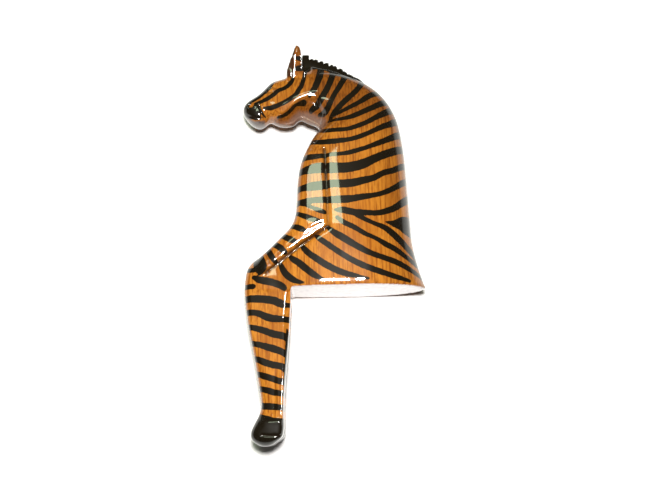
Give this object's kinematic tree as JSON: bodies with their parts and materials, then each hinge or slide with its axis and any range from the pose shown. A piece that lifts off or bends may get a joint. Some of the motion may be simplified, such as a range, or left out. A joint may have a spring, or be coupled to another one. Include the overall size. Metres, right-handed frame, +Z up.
{
  "type": "zebra figurine",
  "caption": "Carved wooden shelf-sitting zebra figurine: seated body with a flat seat, hanging legs, hands on the knees and a notched mane, lying on its side.",
  "frame": {"origin": "on the surface that the figure lies on, under the middle of its outline", "axes": "+Y from the hooves to the ears, +X from the nose to the back, +Z up, out of the figure's left side"},
  "size_m": [0.0902, 0.2004, 0.04],
  "materials": {
    "painted_wood": "gloss"
  },
  "bodies": {
    "root": {"zebra": "painted_wood"}
  },
  "joints": []
}
